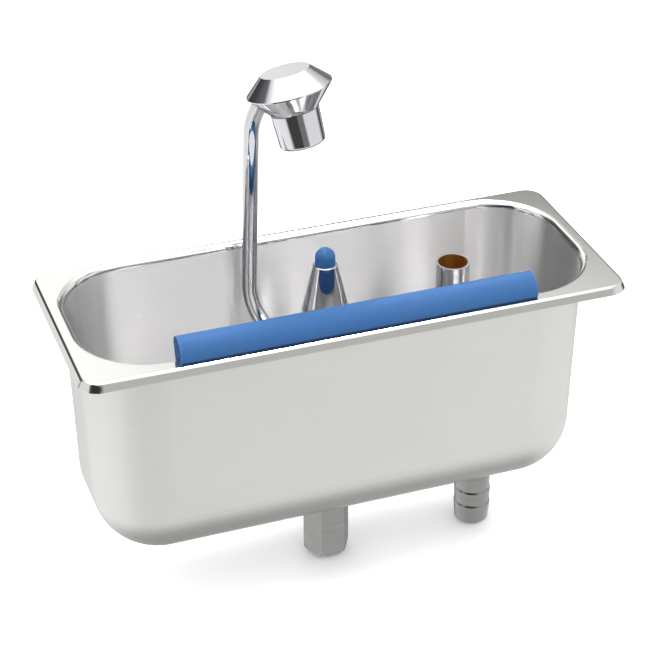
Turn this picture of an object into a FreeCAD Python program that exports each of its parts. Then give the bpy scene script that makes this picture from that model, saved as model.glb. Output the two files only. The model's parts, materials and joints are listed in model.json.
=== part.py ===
import FreeCAD, Part
import math
import os
import Sketcher

# A drop-in portioning sink: a deep-drawn basin with a push valve in its middle. Pressing a scoop
# on the pin opens the valve, and water runs up the riser to the head, which is aimed at the pin.
# An overflow pipe that lifts out sets the water level, and a bar on the front rim is for knocking
# scoops clean. Millimetres, +Z up, X along the length, Y to the back. The origin is the middle of
# the rim on the worktop, where the lip's lower edge rests.

SIZES = {
    # basin
    "rim_length": 325.0,
    "rim_width": 132.0,
    "rim_corner": 12.4,
    "rim_height": 4.8,
    "rim_flare": 26.2,
    "rim_edge_round": 2.0,
    "mouth_round": 4.0,
    "end_inset": 11.3,
    "front_inset": 13.4,
    "back_inset": 8.0,
    "wall_draft": 1.4,
    "wall_corner": 41.0,
    "floor_margin": 0.64,
    "corner_margin": 1.0,
    "basin_depth": 144.3,
    "sheet_thickness": 1.0,
    "flange_radius": 14.0,
    # knock bar on the front rim
    "bar_length": 210.5,
    "bar_round": 10.4,
    "bar_foot_height": 1.1,
    "bar_foot_inset": 0.8,
    "bar_back_round": 6.0,
    "bar_setback": 5.4,
    "bar_lip": 7.0,
    "bar_lip_reach": 13.2,
    "bar_lip_gap": 0.5,
    "screw_spacing": 85.0,
    "screw_inset": 7.6,
    "screw_radius": 1.25,
    "screw_head_radius": 1.9,
    "screw_head_height": 1.6,
    "screw_bite": 4.0,
    # fits
    "run_gap": 0.06,
    "seat_gap": 0.05,
    "hole_gap": 0.3,
    # push pin and its cone, on the axis of the valve column
    "column_x": -1.8,
    "pin_radius": 5.9,
    "pin_rise": 20.7,
    "pin_shoulder_drop": 8.0,
    "pin_collar_radius": 7.6,
    "pin_collar_height": 4.0,
    "pin_socket": 6.0,
    "cone_rise": 10.6,
    "cone_top_radius": 7.0,
    "cone_base_drop": 21.0,
    "cone_base_radius": 13.9,
    "cone_edge_round": 1.5,
    "cone_top_bevel": 0.45,
    "cone_spigot": 8.0,
    "collar_bore": 8.1,
    # valve column
    "column_radius": 13.5,
    "column_flange": 4.0,
    "gland_bore": 10.0,
    "gland_length": 13.5,
    "main_bore": 9.0,
    "chamber_bore": 8.2,
    "passage_bore": 5.5,
    "column_thread_radius": 9.8,
    "column_thread": 15.0,
    "column_gasket": 2.0,
    "inlet_gasket": 2.0,
    # valve inside the column
    "port_drop": 51.4,
    "port_to_seat": 13.5,
    "seat_height": 6.0,
    "seat_bore": 4.6,
    "seat_lip": 2.0,
    "seat_lip_radius": 6.2,
    "stem_radius": 2.5,
    "seal_cord": 1.9,
    "washer_radius": 7.2,
    "washer_thickness": 3.0,
    "holder_radius": 7.4,
    "holder_thickness": 3.0,
    "spring_length": 34.0,
    "spring_radius": 6.2,
    "spring_wire": 1.2,
    "spring_turns": 7.0,
    # supply inlet below the floor
    "hex_across_flats": 25.5,
    "hex_length": 46.4,
    "hex_chamfer": 1.6,
    "inlet_bore": 7.5,
    "inlet_thread": 14.0,
    # riser
    "tube_radius": 4.5,
    "tube_bore": 3.5,
    "tube_socket": 4.5,
    "boss_radius": 6.8,
    "boss_reach": 17.5,
    "nut_length": 5.4,
    "nut_across_flats": 15.0,
    "ferrule_length": 2.5,
    "ferrule_radius": 5.8,
    "riser_bearing": 128.2,
    "riser_gap": 13.64,
    "riser_lean": 2.33,
    "riser_rise": 88.2,
    "bend_margin": 0.2,
    "riser_top_bend": 42.0,
    "riser_top_angle": 27.3,
    "riser_top_run": 20.8,
    # head
    "head_tilt": 15.8,
    "head_radius": 24.5,
    "head_land": 0.35,
    "head_socket_reach": 18.17,
    "head_socket_drop": 3.8,
    "head_water_way": 2.6,
    "head_boss_radius": 18.0,
    "head_boss_height": 2.0,
    "head_bore": 8.0,
    "head_roof": 2.0,
    "cap_radius": 14.15,
    "cap_height": 10.35,
    "cap_wall": 1.8,
    "neck_radius": 13.5,
    "neck_drop": 12.9,
    "neck_thread_radius": 11.0,
    "neck_thread": 7.5,
    "nozzle_length": 20.3,
    "nozzle_radius": 13.9,
    "nozzle_mouth_radius": 13.25,
    "nozzle_mouth_round": 2.0,
    "nozzle_lip": 2.0,
    "nozzle_lip_bore": 10.1,
    "nozzle_gasket": 1.5,
    "screen_wall": 1.3,
    "screen_floor": 1.5,
    "screen_hole": 0.9,
    "screen_inner_ring": 4.0,
    "screen_outer_ring": 7.6,
    # waste under the floor and overflow pipe above it
    "waste_x": 78.2,
    "tail_x": 96.7,
    "waste_gasket": 1.2,
    "waste_flange": 2.0,
    "waste_wall": 1.4,
    "waste_ledge": 1.0,
    "ledge_bore": 8.8,
    "sump_gasket": 0.8,
    "sump_wall": 1.5,
    "sump_height": 6.5,
    "sump_socket": 2.0,
    "sump_floor": 1.5,
    "channel_radius": 10.5,
    "pipe_radius": 10.0,
    "pipe_bore": 8.9,
    "pipe_top_drop": 3.5,
    "foot_height": 14.0,
    "foot_spigot": 8.0,
    "foot_bore": 7.5,
    "foot_seal_height": 3.2,
    # hose tail
    "tail_gasket": 0.8,
    "tail_thread_radius": 8.25,
    "tail_bore": 6.8,
    "tail_length": 47.7,
    "tail_collar": 4.0,
    "tail_collar_radius": 12.4,
    "ridge_radius": 11.4,
    "ridge_neck_radius": 10.9,
    "ridge_land": 1.2,
    "ridge_step": 1.2,
    "ridge_pitch": 10.4,
    "tail_end_radius": 10.6,
}

HEX_SIDES = 6
INNER_HOLES = 6
OUTER_HOLES = 12
FULL_TURN = 360.0
QUARTER_TURN = 90.0
ARCS_PER_TURN = 4
TINY = 1e-4

document = FreeCAD.newDocument("portioning_sink")
sheet = document.addObject("Spreadsheet::Sheet", "Sizes")
subparts = []


class Size:
    """A number together with the sheet expression that gives it."""

    def __init__(self, value, text):
        self.value = value
        self.text = text

    def __add__(self, other):
        return joined(self, "+", other)

    def __radd__(self, other):
        return joined(other, "+", self)

    def __sub__(self, other):
        return joined(self, "-", other)

    def __rsub__(self, other):
        return joined(other, "-", self)

    def __mul__(self, other):
        return joined(self, "*", other)

    def __rmul__(self, other):
        return joined(other, "*", self)

    def __truediv__(self, other):
        return joined(self, "/", other)

    def __neg__(self):
        return joined(0.0, "-", self)


OPERATIONS = {
    "+": lambda first, second: first + second,
    "-": lambda first, second: first - second,
    "*": lambda first, second: first * second,
    "/": lambda first, second: first / second,
}


def as_size(thing):
    if isinstance(thing, Size):
        return thing
    return Size(float(thing), repr(float(thing)))


def joined(first, sign, second):
    first = as_size(first)
    second = as_size(second)
    value = OPERATIONS[sign](first.value, second.value)
    return Size(value, f"({first.text} {sign} {second.text})")


def sine(angle):
    return Size(math.sin(math.radians(angle.value)), f"sin({angle.text})")


def cosine(angle):
    return Size(math.cos(math.radians(angle.value)), f"cos({angle.text})")


def tangent(angle):
    return Size(math.tan(math.radians(angle.value)), f"tan({angle.text})")


def smaller(first, second):
    return Size(min(first.value, second.value), f"min({first.text}; {second.text})")


def fill_sheet():
    sizes = {}
    for row, (alias, value) in enumerate(SIZES.items(), start=1):
        sheet.set(f"A{row}", alias)
        sheet.set(f"B{row}", str(value))
        sheet.setAlias(f"B{row}", alias)
        sizes[alias] = Size(value, f"Sizes.{alias}")
    document.recompute()
    return sizes


def bind(thing, name, size):
    thing.setExpression(name, as_size(size).text)


def put(thing, x=0.0, y=0.0, z=0.0, yaw=0.0, pitch=0.0):
    base = "; ".join(as_size(part).text for part in (x, y, z))
    turn = "; ".join(as_size(part).text for part in (yaw, pitch, 0.0))
    thing.setExpression("Placement", f"placement(vector({base}); rotation({turn}))")


def put_in_riser_plane(thing, reach, height, pitch=0.0):
    """Place a piece in the upright plane through the pin and the riser."""
    bearing = S["riser_bearing"]
    put(thing, column_x + reach * cosine(bearing), reach * sine(bearing), height, bearing, pitch)


def keep(thing, label):
    thing.Label = label
    subparts.append(thing)
    return thing


def new_body(label):
    return document.addObject("PartDesign::Body", label)


def origin_plane(body, role):
    return [plane for plane in body.Origin.OriginFeatures if plane.Role == role][0]


def arc_between(first, last, radius, clockwise):
    side = -1.0 if clockwise else 1.0
    chord = last - first
    across = FreeCAD.Vector(-chord.y, chord.x, 0).normalize()
    rise = math.sqrt(max(radius ** 2 - (chord.Length / 2) ** 2, 0.0))
    centre = (first + last) * 0.5 + across * (side * rise)
    begin = math.atan2(first.y - centre.y, first.x - centre.x)
    end = math.atan2(last.y - centre.y, last.x - centre.x)
    if clockwise:
        begin, end = end, begin
    circle = Part.Circle(centre, FreeCAD.Vector(0, 0, 1), radius)
    return Part.ArcOfCircle(circle, begin, end)


def fix_point(sketch, index, position, x, y):
    for kind, axis, size in (("DistanceX", -2, as_size(x)), ("DistanceY", -1, as_size(y))):
        if abs(size.value) < 1e-9:
            sketch.addConstraint(Sketcher.Constraint("PointOnObject", index, position, axis))
        else:
            rule = Sketcher.Constraint(kind, -1, 1, index, position, size.value)
            number = sketch.addConstraint(rule)
            bind(sketch, f"Constraints[{number}]", size)


def fix_radius(sketch, index, radius):
    number = sketch.addConstraint(Sketcher.Constraint("Radius", index, as_size(radius).value))
    bind(sketch, f"Constraints[{number}]", radius)


def draw(sketch, points, closed=True):
    """Draw lines and arcs through points. A third entry is the radius of the arc that leaves the
    point, and a fourth one says that this arc runs clockwise."""
    spans = len(points) if closed else len(points) - 1
    ends = []
    for index in range(spans):
        start = points[index]
        stop = points[(index + 1) % len(points)]
        first = FreeCAD.Vector(as_size(start[0]).value, as_size(start[1]).value, 0)
        last = FreeCAD.Vector(as_size(stop[0]).value, as_size(stop[1]).value, 0)
        clockwise = len(start) > 3
        if len(start) > 2:
            sketch.addGeometry(arc_between(first, last, as_size(start[2]).value, clockwise))
        else:
            sketch.addGeometry(Part.LineSegment(first, last))
        ends.append((2, 1) if clockwise else (1, 2))
    for index in range(spans if closed else spans - 1):
        following = (index + 1) % spans
        rule = Sketcher.Constraint("Coincident", index, ends[index][1], following, ends[following][0])
        sketch.addConstraint(rule)
    for index in range(spans):
        fix_point(sketch, index, ends[index][0], points[index][0], points[index][1])
        if len(points[index]) > 2:
            fix_radius(sketch, index, points[index][2])
    if not closed:
        fix_point(sketch, spans - 1, ends[-1][1], points[-1][0], points[-1][1])


def new_sketch(body, name, role, level=None):
    sketch = body.newObject("Sketcher::SketchObject", name)
    sketch.AttachmentSupport = [(origin_plane(body, role), "")]
    sketch.MapMode = "FlatFace"
    if level is not None:
        bind(sketch, "AttachmentOffset.Base.z", level)
    return sketch


def outline(body, name, role, points, level=None, closed=True):
    sketch = new_sketch(body, name, role, level)
    draw(sketch, points, closed)
    return sketch


def circles(body, name, role, places, radius, level=None):
    sketch = new_sketch(body, name, role, level)
    for x, y in places:
        centre = FreeCAD.Vector(as_size(x).value, as_size(y).value, 0)
        circle = Part.Circle(centre, FreeCAD.Vector(0, 0, 1), as_size(radius).value)
        index = sketch.addGeometry(circle)
        fix_point(sketch, index, 3, x, y)
        fix_radius(sketch, index, radius)
    return sketch


def extrude(body, kind, name, sketch, length, reverse=False):
    feature = body.newObject(f"PartDesign::{kind}", name)
    feature.Profile = sketch
    feature.Reversed = reverse
    bind(feature, "Length", length)
    document.recompute()
    return feature


def lean_walls(body, name, angle, level, low, high, narrows_down):
    """Lean the walls that run from one height to another about their outline at a level."""
    plane = body.newObject("PartDesign::Plane", f"{name}_plane")
    plane.AttachmentSupport = [(origin_plane(body, "XY_Plane"), "")]
    plane.MapMode = "FlatFace"
    bind(plane, "AttachmentOffset.Base.z", level)
    base = body.Tip
    walls = []
    for number, face in enumerate(base.Shape.Faces, start=1):
        box = face.BoundBox
        if abs(box.ZMin - low.value) < TINY and abs(box.ZMax - high.value) < TINY:
            walls.append(f"Face{number}")
    feature = body.newObject("PartDesign::Draft", name)
    feature.Base = (base, walls)
    feature.NeutralPlane = (plane, [""])
    feature.Reversed = narrows_down
    bind(feature, "Angle", angle)
    document.recompute()
    return feature


def cylinder(body, kind, name, radius, height, x=0.0, y=0.0, z=0.0, pitch=0.0):
    feature = body.newObject(f"PartDesign::{kind}Cylinder", name)
    bind(feature, "Radius", radius)
    bind(feature, "Height", height)
    put(feature, x, y, z, pitch=pitch)
    document.recompute()
    return feature


def round_edges(body, name, radius, wanted):
    """Round the edges of the body's last feature that pass the test."""
    base = body.Tip
    names = [f"Edge{n}" for n, edge in enumerate(base.Shape.Edges, start=1) if wanted(edge)]
    feature = body.newObject("PartDesign::Fillet", name)
    feature.Base = (base, names)
    bind(feature, "Radius", radius)
    document.recompute()
    return feature


def turned_body(label, profile, base):
    """Turn a profile of (radius, height) points about Z, measured from the height called base."""
    body = new_body(label)
    points = [(point[0], point[1] - base) + tuple(point[2:]) for point in profile]
    feature = body.newObject("PartDesign::Revolution", f"{label}_turned")
    feature.Profile = outline(body, f"{label}_profile", "XZ_Plane", points)
    feature.ReferenceAxis = (feature.Profile[0], ["V_Axis"])
    feature.Angle = FULL_TURN
    return body


def turned(label, profile, base, x):
    body = turned_body(label, profile, base)
    put(body, x, 0.0, base)
    return keep(body, label)


def washer_shape(label, inner, outer, low, high, x):
    return turned(label, [(inner, low), (outer, low), (outer, high), (inner, high)], low, x)


def hexagon_cut(label, across_flats, envelope, height):
    """Leave the hexagon bar's flats on a turned envelope."""
    prism = document.addObject("Part::Prism", f"{label}_flats")
    prism.Polygon = HEX_SIDES
    bind(prism, "Circumradius", hex_corner(across_flats))
    bind(prism, "Height", height)
    piece = document.addObject("Part::Common", label)
    piece.Base = envelope
    piece.Tool = prism
    return keep(piece, label)


def hex_corner(across_flats):
    return across_flats / (2.0 * math.cos(math.pi / HEX_SIDES))


def rounded_rectangle(half_x, front_y, back_y, corner):
    x = half_x - corner
    front = front_y + corner
    back = back_y - corner
    return [
        (-x, front_y), (x, front_y, corner), (half_x, front), (half_x, back, corner),
        (x, back_y), (-x, back_y, corner), (-half_x, back), (-half_x, front, corner),
    ]


def stadium(length, radius):
    return [
        (0.0, -radius), (length, -radius, radius), (length + radius, 0.0, radius),
        (length, radius), (0.0, radius, radius), (-radius, 0.0, radius),
    ]


S = fill_sheet()
sheet_wall = S["sheet_thickness"]
run_gap = S["run_gap"]
seat_gap = S["seat_gap"]
column_x = S["column_x"]
waste_x = S["waste_x"]
tail_x = S["tail_x"]

# Levels from the rim down through the valve column.
rim_top = S["rim_height"]
flange_under = rim_top - sheet_wall
floor_under = rim_top - S["basin_depth"]
floor_top = floor_under + sheet_wall
pin_top = rim_top + S["pin_rise"]
pin_shoulder = rim_top - S["pin_shoulder_drop"]
pin_base = pin_shoulder - S["pin_collar_height"]
cone_top = rim_top + S["cone_rise"]
cone_base = rim_top - S["cone_base_drop"]
gland_top = cone_base - S["cone_spigot"]
gland_base = gland_top - S["gland_length"]
port_level = rim_top - S["port_drop"]
seat_base = port_level - S["port_to_seat"]
seat_under = seat_base - S["seat_lip"]
washer_under = seat_under - S["washer_thickness"]
holder_under = washer_under - S["holder_thickness"]
spring_under = holder_under - S["spring_length"]
column_base = floor_top + S["column_gasket"]
hex_top = floor_under - S["inlet_gasket"]
hex_end = floor_under - S["hex_length"]
thread_end = hex_top - S["column_thread"]

# Levels of the waste and of the overflow pipe.
waste_flange_base = floor_top + S["waste_gasket"]
waste_flange_top = waste_flange_base + S["waste_flange"]
sump_top = floor_under - S["sump_gasket"]
sump_base = sump_top - S["sump_height"]
socket_base = sump_top - S["sump_socket"]
ledge_top = socket_base + S["waste_ledge"]
foot_top = ledge_top + S["foot_height"]
pipe_top = rim_top - S["pipe_top_drop"]
tail_top = sump_base - S["tail_gasket"]
tail_end = floor_under - S["tail_length"]
waste_spigot = S["pipe_radius"] + run_gap + S["waste_wall"]
sump_radius = waste_spigot + seat_gap + S["sump_wall"]

# The basin's inner walls. The rounding to the floor leaves a flat just wide enough for the flanges.
wall_half_length = S["rim_length"] / 2.0 - S["end_inset"]
wall_front = S["front_inset"] - S["rim_width"] / 2.0
wall_back = S["rim_width"] / 2.0 - S["back_inset"]
wall_slope = tangent(S["wall_draft"])
floor_lean = (rim_top - floor_top) * wall_slope
floor_half_width = smaller(-wall_front, wall_back) - floor_lean
floor_flat = S["flange_radius"] + S["floor_margin"]
floor_corner = S["wall_corner"] - S["basin_depth"] * wall_slope
floor_round = smaller((floor_half_width - floor_flat) / tangent((QUARTER_TURN - S["wall_draft"]) / 2.0),
                      floor_corner - S["corner_margin"])

# The riser's corners, as reach from the pin's axis and height. It stands clear of the back wall,
# and its lower bend starts behind the union nut.
riser_reach = (wall_back - S["port_drop"] * wall_slope - S["riser_gap"]) / sine(S["riser_bearing"])
lower_turn = QUARTER_TURN + S["riser_lean"]
upper_turn = S["riser_top_angle"] - S["riser_lean"]
lower_tangent = riser_reach - S["boss_reach"] - S["nut_length"] - S["bend_margin"]
lower_bend = lower_tangent / tangent(lower_turn / 2.0)
upper_tangent = S["riser_top_bend"] * tangent(upper_turn / 2.0)
upper_corner_level = rim_top + S["riser_rise"]
upper_corner_reach = riser_reach - (upper_corner_level - port_level) * tangent(S["riser_lean"])
tube_start = S["boss_reach"] - S["tube_socket"]
tube_end_reach = upper_corner_reach - S["riser_top_run"] * sine(S["riser_top_angle"])
tube_end_level = upper_corner_level + S["riser_top_run"] * cosine(S["riser_top_angle"])

# The head's middle, where its two cones meet, found from the tube's end in its socket.
head_reach = (tube_end_reach - S["head_socket_reach"] * cosine(S["head_tilt"])
              + S["head_socket_drop"] * sine(S["head_tilt"]))
head_level = (tube_end_level + S["head_socket_reach"] * sine(S["head_tilt"])
              + S["head_socket_drop"] * cosine(S["head_tilt"]))
neck_level = -S["neck_drop"]
neck_end = neck_level - S["neck_thread"]
mouth_level = neck_level - S["nozzle_length"]
screen_under = mouth_level + S["nozzle_lip"]
screen_top = neck_end - S["nozzle_gasket"]

front_edge = -S["rim_width"] / 2.0
screw_y = front_edge + S["screw_inset"]
bar_front = front_edge + S["bar_setback"]
screw_places = [-S["screw_spacing"], 0.0, S["screw_spacing"]]


def lies_at(level, reach_x=None, front_y=None, back_y=None):
    """Edges that lie flat at a level, and inside a half-length, front and back if these are given."""

    def wanted(edge):
        box = edge.BoundBox
        if abs(box.ZMin - level.value) > TINY or abs(box.ZMax - level.value) > TINY:
            return False
        if reach_x is None:
            return True
        inside_x = max(box.XMax, -box.XMin) < reach_x.value + TINY
        inside_y = box.YMin > front_y.value - TINY and box.YMax < back_y.value + TINY
        return inside_x and inside_y

    return wanted


def make_basin():
    body = new_body("basin")
    half_length = S["rim_length"] / 2.0
    half_width = S["rim_width"] / 2.0
    worktop = as_size(0.0)
    flare = S["rim_flare"]
    block = rounded_rectangle(half_length, -half_width, half_width, S["rim_corner"])
    extrude(body, "Pad", "rim_block", outline(body, "rim_outline", "XY_Plane", block), rim_top)
    # The sheet is as thick on the flared skirt as on the flat rim.
    skirt = sheet_wall / cosine(flare)
    hollow = rounded_rectangle(half_length - skirt, skirt - half_width, half_width - skirt,
                               S["rim_corner"] - skirt)
    extrude(body, "Pocket", "rim_hollow", outline(body, "rim_hollow_outline", "XY_Plane", hollow),
            flange_under, reverse=True)
    lean_walls(body, "rim_hollow_flare", flare, worktop, worktop, flange_under, True)
    lean_walls(body, "rim_flare", flare, worktop, worktop, rim_top, False)
    round_edges(body, "rim_inner_round", S["rim_edge_round"] - sheet_wall, lies_at(flange_under))
    round_edges(body, "rim_edge_round", S["rim_edge_round"], lies_at(rim_top))

    draft = S["wall_draft"]
    outer_front = wall_front - sheet_wall
    outer_back = wall_back + sheet_wall
    wall = rounded_rectangle(wall_half_length + sheet_wall, outer_front, outer_back,
                             S["wall_corner"] + sheet_wall)
    extrude(body, "Pad", "tub", outline(body, "tub_outline", "XY_Plane", wall, flange_under),
            flange_under - floor_under, reverse=True)
    cavity = rounded_rectangle(wall_half_length, wall_front, wall_back, S["wall_corner"])
    extrude(body, "Pocket", "cavity", outline(body, "cavity_outline", "XY_Plane", cavity, rim_top),
            rim_top - floor_top)
    lean_walls(body, "cavity_draft", draft, rim_top, floor_top, rim_top, False)
    lean_walls(body, "tub_draft", draft, rim_top, floor_under, flange_under, True)
    round_edges(body, "cavity_floor_round", floor_round, lies_at(floor_top))
    round_edges(body, "tub_floor_round", floor_round + sheet_wall, lies_at(floor_under))
    round_edges(body, "rim_to_wall_round", S["mouth_round"] - sheet_wall,
                lies_at(flange_under, wall_half_length + sheet_wall, outer_front, outer_back))
    round_edges(body, "mouth_round", S["mouth_round"],
                lies_at(rim_top, wall_half_length, wall_front, wall_back))

    column_hole = circles(body, "column_hole_outline", "XY_Plane", [(column_x, 0.0)],
                          S["column_thread_radius"] + S["hole_gap"], floor_top)
    extrude(body, "Pocket", "column_hole", column_hole, sheet_wall)
    waste_hole = circles(body, "waste_hole_outline", "XY_Plane", [(waste_x, 0.0)],
                         waste_spigot + S["hole_gap"], floor_top)
    extrude(body, "Pocket", "waste_hole", waste_hole, sheet_wall)
    screw_holes = circles(body, "screw_holes_outline", "XY_Plane", [(x, screw_y) for x in screw_places],
                          S["screw_radius"] + S["hole_gap"], rim_top)
    extrude(body, "Pocket", "screw_holes", screw_holes, sheet_wall)
    return keep(body, "basin")


def make_knock_bar():
    """A rounded bar on the rim. Its lip hangs behind the front wall and locates it."""
    body = new_body("knock_bar")
    front = S["bar_round"]
    back = S["bar_back_round"]
    foot = S["bar_foot_height"]
    lip = S["bar_lip"]
    lip_start = wall_front + S["bar_lip_gap"] - bar_front
    section = [
        (S["bar_foot_inset"], lip), (S["bar_foot_inset"], lip + foot), (0.0, lip + foot, front, "clockwise"),
        (front, lip + foot + front, back, "clockwise"), (front + back, lip + foot + front - back),
        (S["bar_lip_reach"], 0.0), (lip_start, 0.0), (lip_start, lip),
    ]
    bar = extrude(body, "Pad", "bar", outline(body, "bar_section", "YZ_Plane", section), S["bar_length"])
    bar.Midplane = True
    document.recompute()
    holes = circles(body, "bar_holes_outline", "XY_Plane", [(x, screw_y - bar_front) for x in screw_places],
                    S["screw_radius"] + seat_gap, lip)
    extrude(body, "Pocket", "bar_holes", holes, S["screw_bite"] + seat_gap, reverse=True)
    put(body, 0.0, bar_front, rim_top - lip)
    return keep(body, "knock_bar")


def make_knock_bar_screws():
    head_under = flange_under - S["screw_head_height"]
    shank = S["screw_radius"]
    head = S["screw_head_radius"]
    profile = [
        (0.0, head_under), (head, head_under), (head, flange_under), (shank, flange_under),
        (shank, rim_top + S["screw_bite"]), (0.0, rim_top + S["screw_bite"]),
    ]
    screws = []
    for number, x in enumerate(screw_places, start=1):
        screw = turned_body(f"knock_bar_screw_{number}", profile, head_under)
        put(screw, x, screw_y, head_under)
        screws.append(screw)
    group = document.addObject("Part::Compound", "knock_bar_screws")
    group.Links = screws
    return keep(group, "knock_bar_screws")


def make_valve_cone():
    edge = S["cone_edge_round"]
    bevel = S["cone_top_bevel"]
    spigot = S["gland_bore"] - seat_gap
    profile = [
        (S["pin_radius"] + run_gap, pin_shoulder), (S["pin_radius"] + run_gap, cone_top),
        (S["cone_top_radius"] - bevel, cone_top), (S["cone_top_radius"], cone_top - bevel),
        (S["cone_base_radius"], cone_base + edge, edge, "clockwise"),
        (S["cone_base_radius"] - edge, cone_base), (spigot, cone_base), (spigot, gland_top),
        (S["collar_bore"], gland_top), (S["collar_bore"], pin_shoulder),
    ]
    return turned("valve_cone", profile, gland_top, column_x)


def make_push_pin():
    radius = S["pin_radius"]
    socket = S["stem_radius"] + seat_gap
    profile = [
        (0.0, pin_top), (0.0, pin_base + S["pin_socket"]), (socket, pin_base + S["pin_socket"]),
        (socket, pin_base), (S["pin_collar_radius"], pin_base), (S["pin_collar_radius"], pin_shoulder),
        (radius, pin_shoulder), (radius, pin_top - radius, radius),
    ]
    return turned("push_pin", profile, pin_base, column_x)


def make_valve_column():
    outer = S["column_radius"]
    thread = S["column_thread_radius"]
    flange = S["flange_radius"]
    flange_top = column_base + S["column_flange"]
    profile = [
        (S["passage_bore"], thread_end), (thread, thread_end), (thread, column_base),
        (flange, column_base), (flange, flange_top), (outer, flange_top), (outer, cone_base),
        (S["gland_bore"], cone_base), (S["gland_bore"], gland_base), (S["main_bore"], gland_base),
        (S["main_bore"], seat_base), (S["chamber_bore"], seat_base), (S["chamber_bore"], spring_under),
        (S["passage_bore"], spring_under),
    ]
    body = turned_body("valve_column", profile, thread_end)
    document.recompute()
    port = port_level - thread_end
    boss_start = (S["main_bore"] + outer) / 2.0
    cylinder(body, "Additive", "riser_boss", S["boss_radius"], S["boss_reach"] - boss_start,
             boss_start, 0.0, port, QUARTER_TURN)
    cylinder(body, "Subtractive", "riser_port", S["tube_bore"], S["boss_reach"], 0.0, 0.0, port, QUARTER_TURN)
    cylinder(body, "Subtractive", "riser_socket", S["tube_radius"] + seat_gap, S["tube_socket"],
             tube_start, 0.0, port, QUARTER_TURN)
    put_in_riser_plane(body, as_size(0.0), thread_end)
    return keep(body, "valve_column")


def make_stem_gland():
    outer = S["gland_bore"] - seat_gap
    bore = S["stem_radius"] + run_gap
    groove = bore + S["seal_cord"]
    half = S["seal_cord"] / 2.0 + seat_gap
    middle = (gland_top + gland_base) / 2.0
    profile = [
        (bore, gland_base), (outer, gland_base), (outer, gland_top), (bore, gland_top),
        (bore, middle + half), (groove, middle + half), (groove, middle - half), (bore, middle - half),
    ]
    return turned("stem_gland", profile, gland_base, column_x)


def make_seal_ring(label, inner, level, x):
    """A round-cord sealing ring that stays just clear of what it slides on."""
    ring = document.addObject("Part::Torus", label)
    bind(ring, "Radius1", inner + S["seal_cord"] / 2.0)
    bind(ring, "Radius2", S["seal_cord"] / 2.0 - seat_gap / 2.0)
    put(ring, x, 0.0, level)
    return keep(ring, label)


def make_valve_seat_ring():
    outer = S["main_bore"] - seat_gap
    lip = S["seat_lip_radius"]
    top = seat_base + S["seat_height"]
    profile = [
        (S["seat_bore"], seat_under), (lip, seat_under), (lip, seat_base), (outer, seat_base),
        (outer, top), (S["seat_bore"], top),
    ]
    return turned("valve_seat_ring", profile, seat_under, column_x)


def make_valve_stem():
    radius = S["stem_radius"]
    top = pin_base + S["pin_socket"]
    return turned("valve_stem", [(0.0, washer_under), (radius, washer_under), (radius, top), (0.0, top)],
                  washer_under, column_x)


def make_valve_holder():
    radius = S["holder_radius"]
    pilot = S["spring_radius"] - S["spring_wire"]
    profile = [
        (0.0, holder_under - S["spring_wire"]), (pilot, holder_under - S["spring_wire"]),
        (pilot, holder_under), (radius, holder_under), (radius, washer_under), (0.0, washer_under),
    ]
    return turned("valve_holder", profile, holder_under - S["spring_wire"], column_x)


def arc_from(start, direction, end):
    """The arc that leaves start along direction and ends at end."""
    chord = end - start
    along = FreeCAD.Vector(chord).normalize()
    across = direction - along * direction.dot(along)
    half_turn = math.atan2(across.Length, direction.dot(along)) / 2.0
    middle = (start + end) * 0.5 + across.normalize() * (chord.Length / 2.0 * math.tan(half_turn))
    return Part.Arc(start, middle, end).toShape()


def make_return_spring():
    """A compression spring as one unbroken wire on pairs of arcs."""
    radius = S["spring_radius"].value
    wire = S["spring_wire"].value
    turns = int(round(S["spring_turns"].value))
    height = S["spring_length"].value - wire
    pitch = height / turns
    step = 2.0 * math.pi / ARCS_PER_TURN

    def point(angle):
        rise = pitch * angle / (2.0 * math.pi)
        return FreeCAD.Vector(radius * math.cos(angle), radius * math.sin(angle), wire / 2.0 + rise)

    def heading(angle):
        slope = pitch / (2.0 * math.pi)
        return FreeCAD.Vector(-radius * math.sin(angle), radius * math.cos(angle), slope).normalize()

    edges = []
    for number in range(turns * ARCS_PER_TURN):
        begin = number * step
        start, end = point(begin), point(begin + step)
        leave, arrive = heading(begin), heading(begin + step)
        # The two arcs meet half-way between control points that stand equally far along each heading.
        gap = end - start
        both = leave + arrive
        a = both.dot(both) - 4.0
        b = -2.0 * gap.dot(both)
        c = gap.dot(gap)
        reach = (-b - math.sqrt(b * b - 4.0 * a * c)) / (2.0 * a)
        if reach < 0.0:
            reach = (-b + math.sqrt(b * b - 4.0 * a * c)) / (2.0 * a)
        meet = ((start + leave * reach) + (end - arrive * reach)) * 0.5
        edges.append(arc_from(start, leave, meet))
        edges.append(arc_from(end, -arrive, meet))
    path = Part.Wire(Part.__sortEdges__(edges))
    section = Part.Wire([Part.Circle(point(0.0), heading(0.0), wire / 2.0).toShape()])
    shell = Part.BRepOffsetAPI.MakePipeShell(path)
    shell.add(section)
    shell.build()
    shell.makeSolid()
    spring = document.addObject("Part::Feature", "return_spring")
    spring.Shape = shell.shape()
    spring.Placement = FreeCAD.Placement(FreeCAD.Vector(column_x.value, 0, spring_under.value), FreeCAD.Rotation())
    print(f"return_spring: gap between turns {pitch - wire:.2f} mm")
    return keep(spring, "return_spring")


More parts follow.
